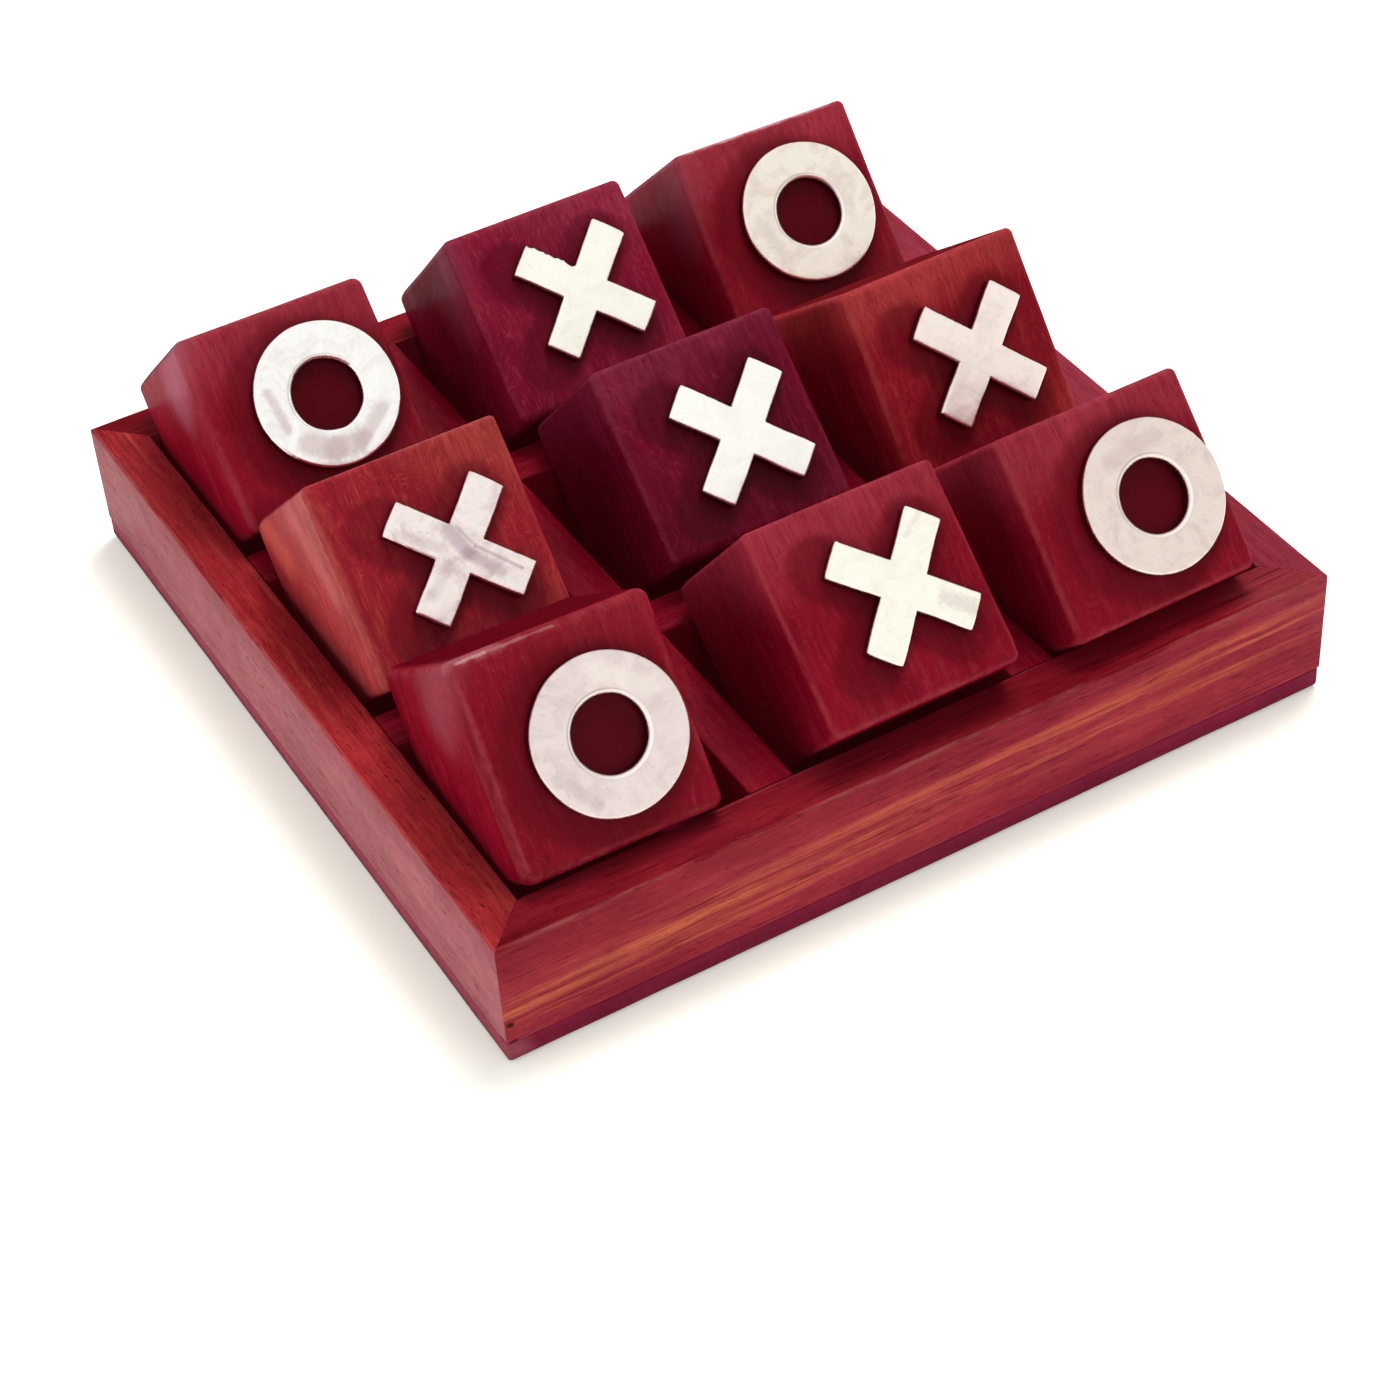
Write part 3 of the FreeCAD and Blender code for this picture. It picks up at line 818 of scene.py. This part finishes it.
cube_looks = {
    "front_left": (CRIMSON, "cube_wood_red"), "front_centre": (CRIMSON, "cube_wood_red"),
    "front_right": (CRIMSON, "cube_wood_red"), "middle_left": (ORANGE, "cube_wood_orange"),
    "middle_centre": (PURPLE, "cube_wood_purple"), "middle_right": (RUSSET, "cube_wood_orange"),
    "back_left": (CRIMSON, "cube_wood_red"), "back_centre": (PLUM, "cube_wood_purple"),
    "back_right": (CRIMSON, "cube_wood_red"),
}

# the base's left face is made paler and pinker than its front: painted sheen and light
build_base(wood("base_wood", BASE_SEED, 0, BASE, washes=(((-1, 0, 0), 70, 74, (0.28, 0.072, 0.092), 0.9),)))

# what follows is written as wood() takes it: bands, washes and strokes
front_bands = ((14.0, 2.9, 0.95), (10.4, 1.9, 0.75), (16.6, 1.6, 0.6))
rail_looks = {
    "front_rail": (RAIL, front_bands), "right_rail": (RIGHT_RAIL, ((12.0, 4.0, 0.5),)),
    "back_rail": (RAIL, ((12.0, 4.0, 0.7),)), "left_rail": (LEFT_RAIL, ()),
}
rail_washes = {
    "front_rail": (((1, 0, 1.2), 52, 61, (0.29, 0.050, 0.062), 0.5),
                   ((1, 0, -2.4), 9, 15, (0.19, 0.018, 0.030), 0.5),
                   ((-1, 0, 12), 21.0, 23.4, (0.18, 0.012, 0.020), 0.45)),
    "left_rail": (((0.7, 0, 1), 52, 74, (0.33, 0.048, 0.034), 0.28),),
}
DARK_FILLER = (0.016, 0.001, 0.002)
rail_strokes = {
    "front_rail": (((-74.3, -75, 8.1), (-73.9, -75, 8.0), 0.45, DARK_FILLER, 0.9, 0.3),
                   ((-74.4, -75, 4.3), (-73.4, -75, 4.4), 0.30, DARK_FILLER, 0.9, 0.3)),
    "left_rail": (((73.2, -75, 4.4), (74.6, -75, 4.6), 0.35, DARK_FILLER, 0.9, 0.3),),
}
for turns, label in enumerate(("front_rail", "right_rail", "back_rail", "left_rail")):
    stained = wood(f"{label}_wood", turns + RAIL_SEED, 0, *rail_looks[label],
                   rail_washes.get(label, ()), rail_strokes.get(label, ()))
    build_rail(label, turns, stained)

for number, (label, side, front_to_back) in enumerate((
        ("long_divider_left", -1, True), ("long_divider_right", 1, True),
        ("cross_divider_front", -1, False), ("cross_divider_back", 1, False))):
    stained = wood(f"{label}_wood", number + DIVIDER_SEED, 0, CRIMSON)
    build_divider(label, side, front_to_back, stained)

# painted sheen: the upper end of the marked face is made paler, on most cubes
TOP_SHEEN = ((-0.05, 1, 0.1), 3, 17, (0.27, 0.031, 0.047), 0.7)
# these cubes take their own washes in place of the painted sheen above: front_left, back_centre and
# middle_centre the same painted sheen in their own tones; middle_left and middle_right orange in the stain,
# and middle_left's left side paler and pinker (stain and painted sheen) and darker away from the marked face
cube_washes = {
    "front_left": (((0.2, 1, 0), 10, 20, (0.25, 0.018, 0.030), 0.5),),
    "middle_left": (((0.6, 0.8, 0), 7, 21, (0.31, 0.050, 0.036), 0.75),
                    ((-1, 0, 0), 15.0, 17.0, (0.34, 0.070, 0.055), 0.85),
                    ((0, 0.1, -1), -4, 15, (0.16, 0.006, 0.010), 0.8)),
    "middle_right": (((-0.1, 1, 0), 6, 16, (0.32, 0.038, 0.036), 0.8),),
    "back_centre": (((0.4, 1, 0), 6, 18, (0.25, 0.032, 0.060), 0.55),),
    "middle_centre": (((-0.2, 1, 0), 6, 18, (0.17, 0.020, 0.045), 0.55),),
}


def edge_highlights(look):
    """Painted highlights in places along the left and low edges of a marked face."""
    tone = tuple(1.1 * c for c in look["light"])
    return (((-16.7, -15, 16.8), (-16.7, 15, 16.8), 0.45, tone, 0.22, 1.6),
            ((-15, -16.8, 16.8), (15, -16.8, 16.8), 0.45, tone, 0.30, 1.6))


# painted highlights along ridges and along the left edge of front_left's face, and painted sheen that reaches
# each left side from a stroke just outside it; middle_left's strokes are pale and dark streaks on its left
# side
cube_strokes = {
    "front_left": (((-15.5, 16.9, 16.5), (-10.0, 16.9, 16.5), 0.35, (0.62, 0.40, 0.40), 0.50, 0.9),
                   ((-10.0, 16.9, 16.5), (1.0, 16.9, 16.5), 0.28, (0.50, 0.28, 0.28), 0.25, 0.9),
                   ((-22.0, 17.0, 13.0), (-22.0, 10.0, 5.0), 7.2, (0.26, 0.075, 0.090), 0.45, 2.0, 8.0),
                   ((-15.5, 17.6, 15.2), (-9.0, 17.6, 16.0), 1.6, (0.34, 0.13, 0.14), 0.40, 2.6),
                   ((-15.6, -15, 17), (-15.6, 14, 17), 0.45, (0.26, 0.040, 0.048), 0.45, 1.2)),
    "middle_left": (((-17, 16, -12), (-17, 9, -7), 3.4, (0.44, 0.10, 0.060), 0.55, 2.4, 5.0),
                    ((-17, 4, -6), (-17, -6, 1), 2.8, (0.24, 0.020, 0.018), 0.45, 2.4, 4.0),
                    ((-17, 14, 6), (-17, 0, 11), 2.2, (0.44, 0.15, 0.13), 0.35, 2.4, 4.0)),
    "back_left": (((-16.0, 17.2, 16.6), (14.0, 17.2, 16.6), 0.5, (0.42, 0.20, 0.23), 0.55, 1.2),
                  ((-22.0, 17.0, 13.0), (-22.0, 11.0, 7.0), 7.2, (0.29, 0.11, 0.14), 0.60, 2.0, 8.0)),
    "back_right": (((-16.0, 17.2, 16.6), (14.0, 17.2, 16.6), 0.5, (0.55, 0.33, 0.33), 0.6, 1.2),
                   ((-22.0, 14.0, 13.0), (-22.0, 6.0, 9.0), 7.2, (0.22, 0.050, 0.070), 0.65, 2.0, 8.0)),
    "back_centre": (((-22.0, 14.0, 13.0), (-22.0, 6.0, 9.0), 7.2, (0.20, 0.040, 0.070), 0.60, 2.0, 8.0),),
}


def mark_shadow_and_polish(name, dark):
    """Painted shadow round a mark, set towards its low left and edged with gathered polish, and painted shade
    inside a ring's bore.
    """
    kind = CUBES[name][0]
    right, up = CUBES[name][5:7]
    # the painted shadow is centred low left of the mark, away from the key lamp
    centre = Vector((right - 2.2, up - 1.0, CUBE_THICKNESS / 2))
    if kind == "ring":
        # painted shade deep in the ring's bore
        bore = (right, up, CUBE_THICKNESS / 2)
        return ((tuple(centre), tuple(centre), RING_OUTER + 2.8, tuple(c * 0.7 for c in dark), 0.62, 1.6),
                (bore, bore, RING_BORE + 1.0, tuple(c * 0.4 for c in dark), 0.75, 0.0))
    reach = (CROSS_HALF - 0.6) * math.sqrt(0.5)
    arms = (Vector((reach, reach, 0)), Vector((reach, -reach, 0)))
    tone = tuple(c * 0.6 for c in dark)
    return tuple((tuple(centre - arm), tuple(centre + arm), CROSS_ARM / 2 + 2.2, tone, 0.60, 1.6)
                 for arm in arms)


# name: bright tone, dull tone, how mirror-like
mark_looks = {
    "front_left": ((0.81, 0.71, 0.68), (0.72, 0.60, 0.59), 0.3),
    "front_centre": ((0.99, 0.98, 0.86), (0.93, 0.90, 0.79), 0.4),
    "front_right": ((0.82, 0.71, 0.65), (0.72, 0.60, 0.55), 0.3),
    "middle_left": ((0.92, 0.84, 0.80), (0.72, 0.60, 0.60), 0.7),
    "middle_centre": ((1.0, 1.0, 0.95), (0.97, 0.96, 0.90), 0.4),
    "middle_right": ((0.93, 0.84, 0.78), (0.83, 0.73, 0.68), 0.3),
    "back_left": ((0.98, 0.97, 0.93), (0.86, 0.83, 0.81), 1.0),
    "back_centre": ((0.99, 0.99, 0.88), (0.95, 0.93, 0.83), 0.4),
    "back_right": ((0.90, 0.84, 0.74), (0.78, 0.69, 0.61), 0.4),
}
REFLECTED_BAND = (0.42, 0.29, 0.34)
PINK_REFLECTION = (0.58, 0.44, 0.45)
GLEAM = (1.0, 1.0, 1.0)
mark_strokes = {
    # painted reflection: a curved mauve band across middle_left's cross
    "middle_left": (((-0.6, 3.6, 2), (0.9, -1.0, 2), 1.2, REFLECTED_BAND, 0.60, 0.5),
                    ((0.9, -1.0, 2), (4.6, -5.6, 2), 1.0, REFLECTED_BAND, 0.50, 0.5),
                    ((0.9, 3.4, 2), (2.4, -0.4, 2), 0.30, REFLECTED_BAND, 0.45, 0.3),
                    ((2.4, -0.4, 2), (8.0, -6.4, 2), 0.30, REFLECTED_BAND, 0.60, 0.3),
                    ((-8.4, 5.6, 2), (-3.0, 1.4, 2), 0.8, REFLECTED_BAND, 0.25, 0.8),
                    ((-7.2, -5.2, 2), (-2.6, -1.6, 2), 0.9, REFLECTED_BAND, 0.20, 0.9)),
    # painted reflections: pink along the low half and left of back_left's ring, and painted white glints
    # across it
    "back_left": (((-6.0, -6.8, 2), (-2.5, -9.0, 2), 2.0, PINK_REFLECTION, 0.60, 1.5),
                  ((-2.5, -9.0, 2), (2.5, -9.4, 2), 2.0, PINK_REFLECTION, 0.70, 1.5),
                  ((2.5, -9.4, 2), (7.5, -5.8, 2), 1.5, PINK_REFLECTION, 0.55, 1.5),
                  ((-9.4, 3.5, 2), (-8.6, -3.5, 2), 0.8, PINK_REFLECTION, 0.55, 0.9),
                  ((3.0, -11.0, 2), (9.5, -6.2, 2), 0.7, GLEAM, 0.8, 0.4),
                  ((-9.5, -6.5, 2), (-6.0, -1.5, 2), 0.5, GLEAM, 0.8, 0.4)),
    "front_left": (((-5.5, -8.8, 2), (-10.0, -3.0, 2), 1.0, (0.52, 0.42, 0.42), 0.40, 2.4),
                   ((1.0, 9.2, 2), (8.0, 4.5, 2), 1.6, (0.93, 0.88, 0.80), 0.45, 2.4)),
    "back_right": (((-7.5, -6.5, 2), (-9.6, 1.0, 2), 1.2, (0.60, 0.50, 0.46), 0.35, 2.4),),
    "front_centre": (((5.0, -4.5, 2), (9.0, -8.5, 2), 1.2, (0.62, 0.50, 0.47), 0.40, 3.4),
                     ((4.0, 6.5, 2), (8.0, 9.0, 2), 0.5, (0.70, 0.60, 0.55), 0.35, 2.4)),
    "front_right": (((-5.0, 7.5, 2), (4.0, 8.6, 2), 1.4, (0.60, 0.48, 0.45), 0.45, 2.6),),
}
for number, name in enumerate(CUBES):
    look, slot_name = cube_looks[name]
    # painted glare: the cubes further back are made paler at the low right of their faces
    low_right = () if name.startswith("front") else (((1, -1, 0), 13, 22, look["light"], 0.40),)
    stained = wood(f"cube_{name}_wood", number + CUBE_SEED, 1, look,
                   washes=cube_washes.get(name, (TOP_SHEEN,)) + low_right,
                   strokes=mark_shadow_and_polish(name, look["dark"]) + edge_highlights(look) + cube_strokes.get(name, ()))
    seed = number + 1
    build_cube(name, seed, stained)
    lit_rim = RING_BORE + 0.45 if CUBES[name][0] == "ring" else None
    plate = metal(f"mark_{name}_metal", seed, *mark_looks[name], mark_strokes.get(name, ()), lit_rim)
    build_mark(name, seed, plate)

# ---------------------------------------------------------------- stage

# a sheet of paper 12 m wide, a hair below the tray so that the two never coincide
HALF_FLOOR, FLOOR_Z = 6, -0.0001
floor_mesh = bpy.data.meshes.new("floor")
floor_mesh.from_pydata([(x * HALF_FLOOR, y * HALF_FLOOR, FLOOR_Z)
                        for x, y in ((-1, -1), (1, -1), (1, 1), (-1, 1))], [], [(0, 1, 2, 3)])
floor = linked("floor", floor_mesh)
paper = Nodes("floor_paper")
for socket, value in (("Base Color", (0.925, 0.935, 0.87, 1)), ("Roughness", 0.9), ("Specular IOR Level", 0.0),
                      ("Emission Color", (0.94, 1, 0.88, 1)), ("Emission Strength", 0.215)):
    paper.surface.inputs[socket].default_value = value
floor.data.materials.append(paper.material)


def area_light(name, position, size, energy):
    """A square lamp that points at the origin and isn't mirrored in the pieces."""
    data = bpy.data.lights.new(name, "AREA")
    data.shape = "SQUARE"
    data.size = size
    data.energy = energy
    lamp = linked(name, data)
    lamp.location = position
    lamp.rotation_mode = "QUATERNION"
    lamp.rotation_quaternion = (-Vector(position)).to_track_quat("-Z", "Y")
    lamp.visible_glossy = False


area_light("key", (0.30, 0.18, 1.0), 0.46, 8.8)
area_light("fill_left", (-1.0, -0.2, 0.35), 0.8, 4.2)
area_light("fill_front", (0.1, -1.2, 0.35), 0.8, 4.2)

# pale surroundings: dimmer as light on the wood, and brighter and a little uneven
# when mirrored in the metal or seen by the camera
SOFT_LIGHT, MIRRORED = 0.57, (0.92, 1.12)
world = bpy.data.worlds.new("studio")
world.use_nodes = True
tree = world.node_tree
background = tree.nodes["Background"]
background.inputs["Color"].default_value = (1, 0.995, 0.985, 1)
direction = tree.nodes.new("ShaderNodeTexCoord").outputs["Generated"]
clouds = tree.nodes.new("ShaderNodeTexNoise")
clouds.inputs["Scale"].default_value = 2.4
clouds.inputs["Detail"].default_value = 2.0
tree.links.new(direction, clouds.inputs["Vector"])
uneven = tree.nodes.new("ShaderNodeMapRange")
for number, value in enumerate((0.35, 0.65, *MIRRORED), start=1):
    uneven.inputs[number].default_value = value
tree.links.new(clouds.outputs["Fac"], uneven.inputs[0])
rays = tree.nodes.new("ShaderNodeLightPath")
chosen = tree.nodes.new("ShaderNodeMix")
seen = tree.nodes.new("ShaderNodeMath")
seen.operation = "MAXIMUM"
tree.links.new(rays.outputs["Is Glossy Ray"], seen.inputs[0])
tree.links.new(rays.outputs["Is Camera Ray"], seen.inputs[1])
tree.links.new(seen.outputs[0], chosen.inputs["Factor"])
chosen.inputs[2].default_value = SOFT_LIGHT
tree.links.new(uneven.outputs[0], chosen.inputs[3])
tree.links.new(chosen.outputs[0], background.inputs["Strength"])
bpy.context.scene.world = world

# ---------------------------------------------------------------- camera

# place, direction and lens come from a fit to the photo's corners
camera_data = bpy.data.cameras.new("camera")
camera = linked("camera", camera_data)
camera_data.sensor_width = 36.0
camera_data.lens = 84.51
right = Vector((0.860092, -0.507182, -0.054843))
down = Vector((-0.374037, -0.553865, -0.743862))
ahead = Vector((0.346898, 0.660303, -0.66608))
facing = Matrix((right, -down, -ahead)).transposed().to_4x4()
camera.matrix_world = Matrix.Translation(Vector((-198.585, -378.399, 360.848)) * MM) @ facing
camera_data.clip_start = 0.01
camera_data.clip_end = 50
bpy.context.scene.camera = camera

bpy.context.scene.view_settings.view_transform = "Standard"
